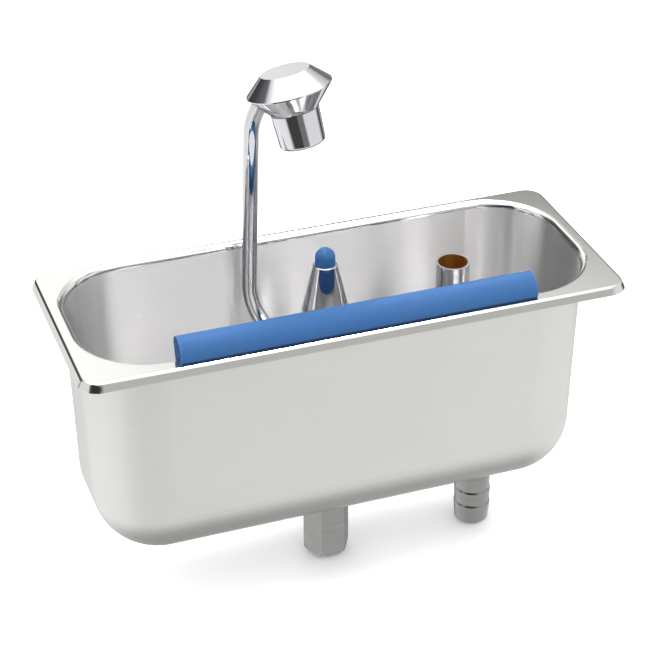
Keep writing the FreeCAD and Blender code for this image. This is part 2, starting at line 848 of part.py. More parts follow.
def make_inlet_hex_sleeve():
    chamfer = S["hex_chamfer"]
    corner = hex_corner(S["hex_across_flats"])
    thread = S["column_thread_radius"] + seat_gap
    profile = [
        (S["inlet_bore"], hex_end), (corner - chamfer, hex_end), (corner, hex_end + chamfer),
        (corner, hex_top), (thread, hex_top), (thread, thread_end), (S["passage_bore"], thread_end),
        (S["passage_bore"], hex_end + S["inlet_thread"]), (S["inlet_bore"], hex_end + S["inlet_thread"]),
    ]
    envelope = turned_body("inlet_hex_envelope", profile, hex_end)
    sleeve = hexagon_cut("inlet_hex_sleeve", S["hex_across_flats"], envelope, hex_top - hex_end)
    put(sleeve, column_x, 0.0, hex_end)
    return sleeve


def riser_path():
    """The riser's middle line: out of the column, up, and over towards the head."""
    lean = S["riser_lean"]
    top_angle = S["riser_top_angle"]
    return [
        (tube_start, port_level - thread_end),
        (riser_reach - lower_tangent, port_level - thread_end, lower_bend),
        (riser_reach - lower_tangent * sine(lean), port_level - thread_end + lower_tangent * cosine(lean)),
        (upper_corner_reach + upper_tangent * sine(lean),
         upper_corner_level - thread_end - upper_tangent * cosine(lean), S["riser_top_bend"]),
        (upper_corner_reach - upper_tangent * sine(top_angle),
         upper_corner_level - thread_end + upper_tangent * cosine(top_angle)),
        (tube_end_reach, tube_end_level - thread_end),
    ]


def make_riser_tube():
    body = new_body("riser_tube")
    path = outline(body, "riser_path", "XZ_Plane", riser_path(), closed=False)
    spans = [f"Edge{number}" for number in range(1, len(riser_path()))]
    place = [(0.0, port_level - thread_end)]
    surfaces = (("Additive", "outside", S["tube_radius"]), ("Subtractive", "bore", S["tube_bore"]))
    for kind, name, radius in surfaces:
        pipe = body.newObject(f"PartDesign::{kind}Pipe", f"riser_{name}")
        pipe.Profile = circles(body, f"riser_{name}_section", "YZ_Plane", place, radius, tube_start)
        pipe.Spine = (path, spans)
        document.recompute()
    put_in_riser_plane(body, as_size(0.0), thread_end)
    return keep(body, "riser_tube")


def make_riser_union_nut():
    hole = S["tube_radius"] + seat_gap
    corner = hex_corner(S["nut_across_flats"])
    chamfer = S["hex_chamfer"] / 2.0
    recess = S["ferrule_radius"] + seat_gap
    depth = S["ferrule_length"]
    length = S["nut_length"]
    start = as_size(0.0)
    profile = [
        (recess, start), (corner, start), (corner, length - chamfer), (corner - chamfer, length),
        (hole, length), (hole, depth), (recess, depth),
    ]
    envelope = turned_body("riser_nut_envelope", profile, start)
    nut = hexagon_cut("riser_union_nut", S["nut_across_flats"], envelope, length)
    put_in_riser_plane(nut, S["boss_reach"], port_level, QUARTER_TURN)
    return nut


def make_riser_ferrule():
    inner = S["tube_radius"] + seat_gap
    start = as_size(0.0)
    profile = [
        (inner, start), (S["ferrule_radius"], start), (S["ferrule_radius"], S["ferrule_length"]),
        (inner, S["ferrule_length"]),
    ]
    body = turned_body("riser_ferrule", profile, start)
    put_in_riser_plane(body, S["boss_reach"], port_level, QUARTER_TURN)
    return keep(body, "riser_ferrule")


def head_piece(label, profile, base):
    """A turned piece on the head's tilted axis, with heights from where the two cones meet."""
    body = turned_body(label, profile, base)
    tilt = S["head_tilt"]
    put_in_riser_plane(body, head_reach + base * sine(tilt), head_level + base * cosine(tilt), tilt)
    return keep(body, label)


def make_head_body():
    edge = as_size(0.0)
    profile = [
        (0.0, -S["head_roof"]), (S["head_bore"], -S["head_roof"]), (S["head_bore"], neck_end),
        (S["neck_thread_radius"], neck_end), (S["neck_thread_radius"], neck_level),
        (S["neck_radius"], neck_level), (S["head_radius"], -S["head_land"]), (S["head_radius"], edge),
        (S["head_boss_radius"], edge),
        (S["head_boss_radius"], S["head_boss_height"]), (0.0, S["head_boss_height"]),
    ]
    body = head_piece("head_body", profile, neck_end)
    document.recompute()
    # The tube's end sits in a socket, and a cross way leads from it to the middle.
    socket_x = S["head_socket_reach"]
    socket_z = -S["head_socket_drop"] - neck_end
    slope = S["riser_top_angle"] + S["head_tilt"]
    away = S["head_radius"]
    cylinder(body, "Subtractive", "tube_socket", S["tube_radius"] + seat_gap, away,
             socket_x + away * sine(slope), 0.0, socket_z - away * cosine(slope), -slope)
    cylinder(body, "Subtractive", "water_way", S["head_water_way"], socket_x, 0.0, 0.0,
             socket_z - S["head_water_way"] / 2.0, QUARTER_TURN)
    return body


def make_head_cap():
    edge = as_size(0.0)
    wall = S["cap_wall"]
    height = S["cap_height"]
    slope = (S["head_radius"] - S["cap_radius"]) / height
    inner_top = S["cap_radius"] - wall / 2.0
    inner_edge = inner_top + slope * (height - wall)
    profile = [
        (0.0, height), (0.0, height - wall), (inner_top, height - wall), (inner_edge, edge),
        (S["head_radius"], edge), (S["head_radius"], S["head_land"]), (S["cap_radius"], height),
    ]
    return head_piece("head_cap", profile, edge)


def make_nozzle_sleeve():
    bore = S["neck_thread_radius"] + seat_gap
    mouth = S["nozzle_mouth_radius"]
    bend = S["nozzle_mouth_round"]
    profile = [
        (S["nozzle_lip_bore"], mouth_level), (mouth - bend, mouth_level, bend),
        (mouth, mouth_level + bend), (S["nozzle_radius"], neck_level), (bore, neck_level),
        (bore, screen_under), (S["nozzle_lip_bore"], screen_under),
    ]
    return head_piece("nozzle_sleeve", profile, mouth_level)


def make_nozzle_gasket():
    outer = S["neck_thread_radius"]
    profile = [
        (S["head_bore"], screen_top), (outer, screen_top), (outer, neck_end), (S["head_bore"], neck_end),
    ]
    return head_piece("nozzle_gasket", profile, screen_top)


def make_flow_screen():
    outer = S["neck_thread_radius"]
    inner = outer - S["screen_wall"]
    floor = screen_under + S["screen_floor"]
    profile = [
        (0.0, screen_under), (outer, screen_under), (outer, screen_top), (inner, screen_top),
        (inner, floor), (0.0, floor),
    ]
    body = head_piece("flow_screen", profile, screen_under)
    document.recompute()
    rings = (("inner", S["screen_inner_ring"], INNER_HOLES), ("outer", S["screen_outer_ring"], OUTER_HOLES))
    for name, reach, count in rings:
        hole = circles(body, f"{name}_hole_outline", "XY_Plane", [(reach, 0.0)], S["screen_hole"],
                       S["screen_floor"])
        cut = extrude(body, "Pocket", f"{name}_hole", hole, S["screen_floor"])
        pattern = body.newObject("PartDesign::PolarPattern", f"{name}_holes")
        pattern.Originals = [cut]
        pattern.Axis = (hole, ["N_Axis"])
        pattern.Angle = FULL_TURN
        pattern.Occurrences = count
        body.Tip = pattern
        document.recompute()
    return body


def make_waste_seat():
    bore = S["pipe_radius"] + run_gap
    profile = [
        (S["ledge_bore"], socket_base), (waste_spigot, socket_base), (waste_spigot, waste_flange_base),
        (S["flange_radius"], waste_flange_base), (waste_spigot + S["waste_flange"], waste_flange_top),
        (bore, waste_flange_top), (bore, ledge_top), (S["ledge_bore"], ledge_top),
    ]
    return turned("waste_seat", profile, socket_base, waste_x)


def make_waste_sump():
    """A shallow chamber that leads from the seat across to the hose tail."""
    body = new_body("waste_sump")
    run = tail_x - waste_x
    height = S["sump_height"]
    block = outline(body, "sump_outline", "XY_Plane", stadium(run, sump_radius))
    extrude(body, "Pad", "sump_block", block, height)
    socket = circles(body, "sump_socket_outline", "XY_Plane", [(0.0, 0.0)], waste_spigot + seat_gap, height)
    extrude(body, "Pocket", "sump_socket", socket, S["sump_socket"])
    channel_top = height - S["sump_socket"]
    channel = outline(body, "channel_outline", "XY_Plane", stadium(run, S["channel_radius"]), channel_top)
    extrude(body, "Pocket", "channel", channel, channel_top - S["sump_floor"])
    outlet = circles(body, "outlet_outline", "XY_Plane", [(run, 0.0)], S["tail_thread_radius"] + seat_gap,
                     S["sump_floor"])
    extrude(body, "Pocket", "outlet", outlet, S["sump_floor"])
    put(body, waste_x, 0.0, sump_base)
    return keep(body, "waste_sump")


def make_sump_gasket():
    body = new_body("sump_gasket")
    run = tail_x - waste_x
    sheet_outline = outline(body, "sump_gasket_outline", "XY_Plane", stadium(run, sump_radius))
    extrude(body, "Pad", "sump_gasket_sheet", sheet_outline, S["sump_gasket"])
    hole = circles(body, "sump_gasket_hole_outline", "XY_Plane", [(0.0, 0.0)], waste_spigot + seat_gap,
                   S["sump_gasket"])
    extrude(body, "Pocket", "sump_gasket_hole", hole, S["sump_gasket"])
    put(body, waste_x, 0.0, sump_top)
    return keep(body, "sump_gasket")


def make_hose_tail():
    """A spigot with barbs: each is widest at its top and tapers towards the end."""
    bore = S["tail_bore"]
    thread = S["tail_thread_radius"]
    neck = S["ridge_neck_radius"]
    ridge = S["ridge_radius"]
    collar = S["tail_collar_radius"]
    thread_top = sump_base + S["sump_floor"]
    collar_under = tail_top - S["tail_collar"]
    profile = [
        (bore, tail_end), (bore, thread_top), (thread, thread_top), (thread, tail_top), (collar, tail_top),
        (collar, collar_under), (neck, collar_under),
    ]
    for steps in (2.0, 1.0):
        land_base = tail_end + S["ridge_pitch"] * steps
        land_top = land_base + S["ridge_land"]
        profile += [(neck, land_top + S["ridge_step"]), (ridge, land_top), (ridge, land_base)]
    profile.append((S["tail_end_radius"], tail_end))
    return turned("hose_tail", profile, tail_end, tail_x)


def make_overflow_pipe():
    radius = S["pipe_radius"]
    bore = S["pipe_bore"]
    return washer_shape("overflow_pipe", bore, radius, foot_top, pipe_top, waste_x)


def make_overflow_foot():
    radius = S["pipe_radius"]
    groove = radius - S["seal_cord"]
    spigot = S["pipe_bore"] - seat_gap
    half = S["seal_cord"] / 2.0 + seat_gap
    seal_level = ledge_top + S["foot_seal_height"]
    spigot_top = foot_top + S["foot_spigot"]
    profile = [
        (S["foot_bore"], ledge_top), (radius, ledge_top), (radius, seal_level - half),
        (groove, seal_level - half), (groove, seal_level + half), (radius, seal_level + half),
        (radius, foot_top), (spigot, foot_top), (spigot, spigot_top), (S["foot_bore"], spigot_top),
    ]
    return turned("overflow_foot", profile, ledge_top, waste_x)


def make_gaskets():
    thread = S["column_thread_radius"] + seat_gap
    washer_shape("column_gasket", thread, S["flange_radius"], floor_top, column_base, column_x)
    washer_shape("inlet_gasket", thread, S["hex_across_flats"] / 2.0, hex_top, floor_under, column_x)
    washer_shape("waste_gasket", waste_spigot + seat_gap, S["flange_radius"], floor_top,
                 waste_flange_base, waste_x)
    washer_shape("tail_gasket", S["tail_thread_radius"] + seat_gap, S["tail_collar_radius"], tail_top,
                 sump_base, tail_x)


def build():
    make_basin()
    make_knock_bar()
    make_knock_bar_screws()
    make_valve_column()
    make_valve_cone()
    make_push_pin()
    make_stem_gland()
    make_seal_ring("gland_o_ring", S["stem_radius"] + run_gap, (gland_top + gland_base) / 2.0,
                   column_x)
    make_valve_seat_ring()
    make_valve_stem()
    washer_shape("valve_washer", S["stem_radius"] + seat_gap, S["washer_radius"], washer_under, seat_under,
                 column_x)
    make_valve_holder()
    make_return_spring()
    make_inlet_hex_sleeve()
    make_riser_tube()
    make_riser_union_nut()
    make_riser_ferrule()
    make_head_body()
    make_head_cap()
    make_nozzle_sleeve()
    make_nozzle_gasket()
    make_flow_screen()
    make_waste_seat()
    make_waste_sump()
    make_sump_gasket()
    make_hose_tail()
    make_overflow_pipe()
    make_overflow_foot()
    make_seal_ring("overflow_o_ring", S["pipe_radius"] - S["seal_cord"],
                   ledge_top + S["foot_seal_height"], waste_x)
    make_gaskets()
    document.recompute()


def check():
    for thing in document.Objects:
        if "Invalid" in thing.State or "Error" in thing.State:
            raise RuntimeError(f"{thing.Label} failed: {thing.State}")
    for piece in subparts:
        if piece.Shape.isNull() or not piece.Shape.isValid():
            raise RuntimeError(f"{piece.Label} has no valid shape")


def export():
    os.makedirs("parts", exist_ok=True)
    for piece in subparts:
        piece.Shape.exportStep(f"parts/{piece.Label}.step")
        print(f"{piece.Label}: {len(piece.Shape.Solids)} solids, {piece.Shape.Volume:.0f} mm3")


build()
check()
export()
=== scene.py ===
import json
import math

import bpy
from mathutils import Matrix, Vector


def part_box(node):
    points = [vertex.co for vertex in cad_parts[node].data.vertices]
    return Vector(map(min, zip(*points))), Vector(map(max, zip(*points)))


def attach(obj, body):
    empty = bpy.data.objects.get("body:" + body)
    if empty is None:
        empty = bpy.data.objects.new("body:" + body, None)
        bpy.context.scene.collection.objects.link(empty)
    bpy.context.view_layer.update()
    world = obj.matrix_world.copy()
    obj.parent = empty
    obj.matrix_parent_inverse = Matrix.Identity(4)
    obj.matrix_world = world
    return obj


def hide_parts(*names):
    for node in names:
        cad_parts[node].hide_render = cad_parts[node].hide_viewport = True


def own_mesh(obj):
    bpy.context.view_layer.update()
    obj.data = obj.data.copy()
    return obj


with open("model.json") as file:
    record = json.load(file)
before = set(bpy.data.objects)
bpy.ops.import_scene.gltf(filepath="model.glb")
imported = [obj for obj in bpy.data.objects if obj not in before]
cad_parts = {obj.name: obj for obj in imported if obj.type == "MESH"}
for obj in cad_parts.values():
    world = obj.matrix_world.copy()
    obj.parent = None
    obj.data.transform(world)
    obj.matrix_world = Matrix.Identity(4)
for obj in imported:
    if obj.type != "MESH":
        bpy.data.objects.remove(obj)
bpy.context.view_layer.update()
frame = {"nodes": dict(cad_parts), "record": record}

# Camera found from the rim's corners in the photo: angles in degrees, place in metres.
CAMERA_AZIMUTH = -19.4289
CAMERA_ELEVATION = 31.3002
CAMERA_ROLL = -0.2307
CAMERA_PLACE = (-0.34188, -0.95918, 0.59449)
FOCAL_PIXELS = 2034.98
PHOTO_PIXELS = 645.0
SENSOR = 36.0
CLIP_START = 0.01

# Levels above which the sheet is buffed: the lip's lower edge outside, the mouth's rounding inside.
LIP_LEVEL = -0.0002
MOUTH_LEVEL = 0.0010

# Product of normal and place, in metres, below which a face of the basin looks inwards.
INWARD = -0.002

# How far the inner walls' fine lengthwise brushing turns the normal up and down.
BRUSHING = 0.95

# How alike the rounded and the true normal are on a worn edge, and where the wear ends.
WORN_LIKENESS = 0.80
UNWORN_LIKENESS = 0.97

# Overflow pipe's axis and the radius inside which its bare brass bore shows.
PIPE_X = 0.0782
BRASS_RADIUS = 0.00895

# The return spring's turns and wire thickness, and its mesh's steps round a turn and round the wire.
SPRING_TURNS = 7
SPRING_WIRE = 0.0012
STEPS_PER_TURN = 48
STEPS_ROUND_WIRE = 14

# Floor, overhead lamp and the even light from all round.
FLOOR_GAP = 0.002
FLOOR_REACH = 6.0
FLOOR_ROUGHNESS = 0.6
LAMP_PLACE = (0.1, -0.1, 1.7)
LAMP_SIZE = 2.4
LAMP_WATTS = 30.0
WORLD_STRENGTH = 1.8

# The shell that the metal mirrors: radius in metres, and its mesh's columns and rows.
SHELL_RADIUS = 1.6
SHELL_COLUMNS = 120
SHELL_ROWS = 60

# Its glow all round, and what is added above or below: amount, and the tilts between which it comes in.
EVEN_GLOW = 1.1
LAYERS = [
    (0.9, 40.0, 58.0),
    (0.12, -15.0, -25.0),
    (-0.75, -42.0, -70.0),
]

# Rows of the studio: strength, then four bearings and four tilts in degrees for patch() below.
LIGHTS = [
    (60.0, (148.0, 164.0, 214.0, 230.0), (55.0, 59.0, 67.0, 71.0)),
    (0.15, (-130.0, -110.0, -55.0, -35.0), (-64.0, -52.0, -36.0, -24.0)),
    (0.5, (180.0, 196.0, 207.0, 223.0), (10.0, 26.0, 37.0, 53.0)),
]
SHADES = [
    (0.36, (-40.0, -20.0, 52.0, 72.0), (0.0, 12.0, 44.0, 56.0)),
    (0.85, (140.0, 160.0, 202.0, 222.0), (-54.0, -46.0, -4.0, 4.0)),
    (0.46, (170.0, 178.0, 180.0, 188.0), (10.0, 18.0, 36.0, 44.0)),
    (0.55, (128.0, 148.0, 152.0, 172.0), (-16.0, 0.0, 8.0, 50.0)),
    (0.7, (150.0, 160.0, 179.0, 189.0), (-4.0, 4.0, 24.0, 30.0)),
]
FRONT_LIGHT = (2.0, (24.0, 36.0, 50.0, 62.0), (23.0, 33.0, 51.0, 61.0))
RIGHT_GAP = (0.93, (102.0, 126.0, 130.0, 154.0), (-29.0, -19.0, -5.0, 5.0))

# The dark gap on the left fades a little towards its top.
LEFT_STRENGTH = 0.93
LEFT_FADE = (0.1, 13.0, 33.0)
LEFT_BEARINGS = (-151.0, -141.0, -103.0, -93.0)
LEFT_TILTS = (-6.0, 0.0, 35.0, 43.0)

# The unlit camera side: two overlapping parts, under a top edge that falls with the bearing.
FRONT_GAPS = [
    (0.93, (-47.0, -39.0, 8.0, 16.0)),
    (0.77, (-4.0, 4.0, 33.0, 41.0)),
]
FRONT_FOOT = -21.0
FRONT_TOP = 27.0
FRONT_FALL = 0.75
FRONT_SOFT = 3.0


class Shader:
    """A material's node tree with short calls for the nodes used here."""

    def __init__(self, name):
        self.material = bpy.data.materials.new(name)
        self.material.use_nodes = True
        self.tree = self.material.node_tree
        self.surface = self.tree.nodes["Principled BSDF"]
        self.place = self.add("ShaderNodeTexCoord").outputs["Object"]

    def add(self, kind, **settings):
        node = self.tree.nodes.new(kind)
        for name, value in settings.items():
            setattr(node, name, value)
        return node

    def feed(self, socket, value):
        if isinstance(value, bpy.types.NodeSocket):
            self.tree.links.new(value, socket)
        else:
            socket.default_value = value

    def set(self, **inputs):
        for name, value in inputs.items():
            self.feed(self.surface.inputs[name.replace("_", " ")], value)

    def stretched(self, scale):
        node = self.add("ShaderNodeMapping")
        self.feed(node.inputs["Vector"], self.place)
        node.inputs["Scale"].default_value = scale
        return node.outputs["Vector"]

    def noise(self, scale, stretch=(1.0, 1.0, 1.0), detail=3.0):
        node = self.add("ShaderNodeTexNoise")
        self.feed(node.inputs["Vector"], self.stretched(stretch))
        node.inputs["Scale"].default_value = scale
        node.inputs["Detail"].default_value = detail
        return node.outputs["Fac"]

    def spread(self, value, low, high, from_low=0.0, from_high=1.0):
        node = self.add("ShaderNodeMapRange")
        self.feed(node.inputs["Value"], value)
        node.inputs["From Min"].default_value = from_low
        node.inputs["From Max"].default_value = from_high
        self.feed(node.inputs["To Min"], low)
        self.feed(node.inputs["To Max"], high)
        return node.outputs["Result"]

    def math(self, operation, first, second):
        node = self.add("ShaderNodeMath", operation=operation)
        self.feed(node.inputs[0], first)
        self.feed(node.inputs[1], second)
        return node.outputs["Value"]

    def vector(self, operation, first, second, output):
        node = self.add("ShaderNodeVectorMath", operation=operation)
        self.feed(node.inputs[0], first)
        self.feed(node.inputs[1], second)
        return node.outputs[output]

    def blend(self, share, first, second):
        node = self.add("ShaderNodeMix", data_type="RGBA")
        self.feed(node.inputs["Factor"], share)
        self.feed(node.inputs["A"], first)
        self.feed(node.inputs["B"], second)
        return node.outputs["Result"]

    def bump(self, height, distance, strength, below=None):
        node = self.add("ShaderNodeBump")
        self.feed(node.inputs["Height"], height)
        node.inputs["Distance"].default_value = distance
        node.inputs["Strength"].default_value = strength
        if below is not None:
            self.feed(node.inputs["Normal"], below)
        return node.outputs["Normal"]

    def edges(self, radius):
        """A mask that is 1 on sharp edges, from how far a rounded normal turns away."""
        rounded = self.add("ShaderNodeBevel", samples=4)
        rounded.inputs["Radius"].default_value = radius
        normal = self.add("ShaderNodeNewGeometry").outputs["Normal"]
        same = self.vector("DOT_PRODUCT", rounded.outputs["Normal"], normal, "Value")
        return self.spread(same, 1.0, 0.0, WORN_LIKENESS, UNWORN_LIKENESS)

    def facing_in(self):
        """1 on the basin's inner side and 0 on its outer side."""
        normal = self.add("ShaderNodeNewGeometry").outputs["Normal"]
        outward = self.vector("DOT_PRODUCT", normal, self.place, "Value")
        return self.math("LESS_THAN", outward, INWARD)


def colour(red, green, blue):
    return (red, green, blue, 1.0)


def basin_steel():
    """Satin sheet outside, brushed lengthwise inside, buffed on the rim. The inside's lighter colour is
    painted light.
    """
    s = Shader("basin_steel")
    inside = s.facing_in()
    height = s.add("ShaderNodeSeparateXYZ")
    s.feed(height.inputs["Vector"], s.place)
    rim = s.math("GREATER_THAN", height.outputs["Z"], s.spread(inside, LIP_LEVEL, MOUTH_LEVEL))
    wall_inside = s.math("GREATER_THAN", inside, rim)
    cloud = s.noise(14.0, detail=2.0)
    grain = s.noise(900.0, stretch=(0.03, 0.03, 1.0), detail=2.0)
    fine = s.noise(2600.0, detail=1.0)
    # Painted light: the inner sheet's colour is lighter than the outer's, to brighten the inside of the
    # basin; it carries on through streaked and worn into the base colour.
    outer = s.blend(cloud, colour(0.60, 0.60, 0.575), colour(0.65, 0.65, 0.625))
    inner = s.blend(cloud, colour(0.68, 0.67, 0.665), colour(0.73, 0.72, 0.715))
    sheet = s.blend(inside, outer, inner)
    streaked = s.blend(s.spread(grain, 0.0, 0.06, 0.35, 0.75), sheet, colour(0.40, 0.40, 0.40))
    worn = s.blend(s.edges(0.0012), streaked, colour(0.72, 0.72, 0.70))
    rough_wall = s.spread(inside, s.spread(fine, 0.34, 0.42), s.spread(grain, 0.26, 0.32))
    rough = s.spread(rim, rough_wall, s.spread(fine, 0.07, 0.11))
    tangent = s.add("ShaderNodeTangent", direction_type="RADIAL", axis="Z")
    s.set(Base_Color=worn, Metallic=1.0, Roughness=rough, Anisotropic=wall_inside,
          Anisotropic_Rotation=0.25, Tangent=tangent.outputs["Tangent"])
    scratches = s.add("ShaderNodeTexWhiteNoise", noise_dimensions="3D")
    s.feed(scratches.inputs["Vector"], s.place)
    up_or_down = s.spread(scratches.outputs["Value"], -BRUSHING, BRUSHING)
    turn = s.add("ShaderNodeCombineXYZ")
    s.feed(turn.inputs["Z"], s.math("MULTIPLY", wall_inside, up_or_down))
    smooth = s.bump(fine, 0.00002, 0.2, s.bump(grain, 0.00002, 0.06))
    brushed = s.vector("ADD", smooth, turn.outputs["Vector"], "Vector")
    s.set(Normal=s.vector("NORMALIZE", brushed, (0.0, 0.0, 0.0), "Vector"))
    return s.material


def chrome_over(s, base):
    """Bright plating with faint wipe marks and specks over a base colour."""
    wipe = s.noise(60.0, stretch=(1.0, 1.0, 0.25), detail=4.0)
    specks = s.noise(1500.0, detail=1.0)
    hazy = s.spread(wipe, 0.025, 0.085, 0.35, 0.75)
    s.set(Base_Color=base, Metallic=1.0, Roughness=hazy)
    s.set(Normal=s.bump(specks, 0.000004, 0.25))


def chrome_tint(s):
    return s.blend(s.noise(25.0), colour(0.58, 0.58, 0.605), colour(0.63, 0.63, 0.655))


def chrome_plate():
    """Bright chrome, paler along its edges."""
    s = Shader("chrome_plate")
    worn = s.blend(s.edges(0.0006), chrome_tint(s), colour(0.70, 0.70, 0.71))
    chrome_over(s, worn)
    return s.material


def chromed_brass_pipe():
    """The overflow pipe: plated outside, bare tarnished brass in its bore."""
    s = Shader("chromed_brass_pipe")
    flat = s.vector("MULTIPLY", s.place, (1.0, 1.0, 0.0), "Vector")
    from_axis = s.vector("DISTANCE", flat, (PIPE_X, 0.0, 0.0), "Value")
    bare = s.math("LESS_THAN", from_axis, BRASS_RADIUS)
    tarnish = s.noise(180.0, stretch=(1.0, 1.0, 0.4), detail=4.0)
    brass_tint = s.blend(tarnish, colour(0.60, 0.37, 0.12), colour(0.78, 0.53, 0.21))
    chrome_over(s, s.blend(bare, chrome_tint(s), brass_tint))
    s.set(Roughness=s.spread(bare, s.spread(tarnish, 0.03, 0.08), s.spread(tarnish, 0.28, 0.42)))
    return s.material


def blue_plastic():
    """Moulded plastic with a fine matt grain and slight mottling."""
    s = Shader("blue_plastic")
    mottle = s.noise(45.0, stretch=(0.35, 1.0, 1.0))
    grain = s.noise(1700.0, detail=2.0)
    body = s.blend(mottle, colour(0.010, 0.063, 0.185), colour(0.014, 0.075, 0.207))
    worn = s.blend(s.edges(0.0007), body, colour(0.06, 0.14, 0.31))
    s.set(Base_Color=worn, Roughness=s.spread(grain, 0.56, 0.70), Specular_IOR_Level=0.27)
    s.set(Normal=s.bump(grain, 0.00003, 0.4))
    return s.material


def turned_metal(name, dark, light, rough):
    """Lathe-turned or drawn metal: fine rings along Z and dull patches."""
    s = Shader(name)
    rings = s.noise(2600.0, stretch=(0.01, 0.01, 1.0), detail=2.0)
    patches = s.noise(120.0, detail=4.0)
    tint = s.blend(s.spread(rings, 0.0, 1.0, 0.3, 0.7), dark, light)
    dulled = s.blend(s.spread(patches, 0.0, 0.35, 0.4, 0.8), tint, dark)
    bright = s.blend(s.edges(0.0005), dulled, light)
    s.set(Base_Color=bright, Metallic=1.0, Roughness=s.spread(patches, rough, rough + 0.14))
    s.set(Normal=s.bump(rings, 0.00001, 0.3))
    return s.material


def moulded(name, dark, light, rough):
    """Rubber or dull plastic with a powdery grain."""
    s = Shader(name)
    grain = s.noise(1100.0)
    cloud = s.noise(90.0)
    s.set(Base_Color=s.blend(cloud, dark, light), Roughness=s.spread(grain, rough, rough + 0.15))
    s.set(Normal=s.bump(grain, 0.00004, 0.5))
    return s.material


FINISHES = {
    "basin_steel": basin_steel(),
    "chrome_plate": chrome_plate(),
    "blue_plastic": blue_plastic(),
    # Machined steel: both colours are darkened far below bare steel, painted shade for the basin's
    # shadow over the hex and hose tail.
    "machined_steel": turned_metal(
        "machined_steel", colour(0.23, 0.23, 0.225), colour(0.29, 0.29, 0.285), 0.22),
    "brass": turned_metal(
        "brass", colour(0.48, 0.30, 0.09), colour(0.68, 0.47, 0.17), 0.24),
    "seal_rubber": moulded(
        "seal_rubber", colour(0.012, 0.012, 0.012), colour(0.028, 0.028, 0.027), 0.62),
    "spring_steel": turned_metal(
        "spring_steel", colour(0.45, 0.45, 0.45), colour(0.62, 0.62, 0.61), 0.20),
    "grey_plastic": moulded(
        "grey_plastic", colour(0.24, 0.25, 0.26), colour(0.31, 0.32, 0.33), 0.45),
}
OWN_FINISHES = {"overflow_pipe": chromed_brass_pipe()}

for part in frame["record"]["subparts"]:
    piece = frame["nodes"][part["node"]]
    finish = OWN_FINISHES.get(part["node"], FINISHES[part["material_slot"]])
    piece.data.materials.clear()
    piece.data.materials.append(finish)


def wound_spring(name, low, high):
    """A compression spring that fills the box between two corners: one round wire with flat ends."""
    middle = (low + high) / 2.0
    radius = (high.x - low.x - SPRING_WIRE) / 2.0
    slope = (high.z - low.z - SPRING_WIRE) / (2.0 * math.pi * SPRING_TURNS)
    places, faces = [], []
    for step in range(SPRING_TURNS * STEPS_PER_TURN + 1):
        angle = 2.0 * math.pi * step / STEPS_PER_TURN
        outward = Vector((math.cos(angle), math.sin(angle), 0.0))
        along = Vector((-radius * outward.y, radius * outward.x, slope)).normalized()
        level = low.z + SPRING_WIRE / 2.0 + slope * angle
        centre = Vector((middle.x, middle.y, level)) + radius * outward
        for side in range(STEPS_ROUND_WIRE):
            turn = 2.0 * math.pi * side / STEPS_ROUND_WIRE
            across = math.cos(turn) * outward + math.sin(turn) * along.cross(outward)
            places.append(centre + SPRING_WIRE / 2.0 * across)
    for first in range(0, len(places) - STEPS_ROUND_WIRE, STEPS_ROUND_WIRE):
        for side in range(STEPS_ROUND_WIRE):
            here, beside = first + side, first + (side + 1) % STEPS_ROUND_WIRE
            faces.append((here, here + STEPS_ROUND_WIRE, beside + STEPS_ROUND_WIRE, beside))
    round_faces = len(faces)
    faces.append(tuple(range(STEPS_ROUND_WIRE)))
    faces.append(tuple(reversed(range(len(places) - STEPS_ROUND_WIRE, len(places)))))
    mesh = bpy.data.meshes.new(name)
    mesh.from_pydata(places, [], faces)
    mesh.polygons.foreach_set("use_smooth", [number < round_faces for number in range(len(faces))])
    mesh.materials.append(FINISHES["spring_steel"])
    piece = bpy.data.objects.new(name, mesh)
    bpy.context.scene.collection.objects.link(piece)
    return piece


# The real spring shortens by the pin's whole travel when the pin is down; this one is wound once in the
# CAD spring's box and fixed to the sink.
spring_low, spring_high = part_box("return_spring")
spring = wound_spring("wound_return_spring", spring_low, spring_high)
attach(spring, "sink")
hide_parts("return_spring")
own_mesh(spring)


def stage_floor(level):
    """A wide pale floor that shows to the camera but not in the metal."""
    material = bpy.data.materials.new("floor_white")
    material.use_nodes = True
    surface = material.node_tree.nodes["Principled BSDF"]
    surface.inputs["Base Color"].default_value = colour(0.9, 0.9, 0.9)
    surface.inputs["Roughness"].default_value = FLOOR_ROUGHNESS
    corners = [(-FLOOR_REACH, -FLOOR_REACH, level), (FLOOR_REACH, -FLOOR_REACH, level),
               (FLOOR_REACH, FLOOR_REACH, level), (-FLOOR_REACH, FLOOR_REACH, level)]
    mesh = bpy.data.meshes.new("floor")
    mesh.from_pydata(corners, [], [(0, 1, 2, 3)])
    mesh.materials.append(material)
    piece = bpy.data.objects.new("floor", mesh)
    bpy.context.scene.collection.objects.link(piece)
    piece.visible_glossy = False


def overhead_lamp():
    """A large soft lamp above the sink, aimed at its middle. The metal does not mirror it."""
    light = bpy.data.lights.new("overhead", "AREA")
    light.shape = "RECTANGLE"
    light.size = LAMP_SIZE
    light.size_y = LAMP_SIZE
    light.energy = LAMP_WATTS
    lamp = bpy.data.objects.new("overhead", light)
    aim = -Vector(LAMP_PLACE)
    turn = aim.to_track_quat("-Z", "Y").to_matrix().to_4x4()
    lamp.matrix_world = Matrix.Translation(LAMP_PLACE) @ turn
    bpy.context.scene.collection.objects.link(lamp)
    lamp.visible_glossy = False


stage_floor(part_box("hose_tail")[0].z - FLOOR_GAP)
overhead_lamp()

world = bpy.data.worlds.new("studio")
world.use_nodes = True
world.node_tree.nodes["Background"].inputs["Color"].default_value = colour(1.0, 1.0, 1.0)
world.node_tree.nodes["Background"].inputs["Strength"].default_value = WORLD_STRENGTH
bpy.context.scene.world = world
bpy.context.scene.view_settings.view_transform = "Standard"


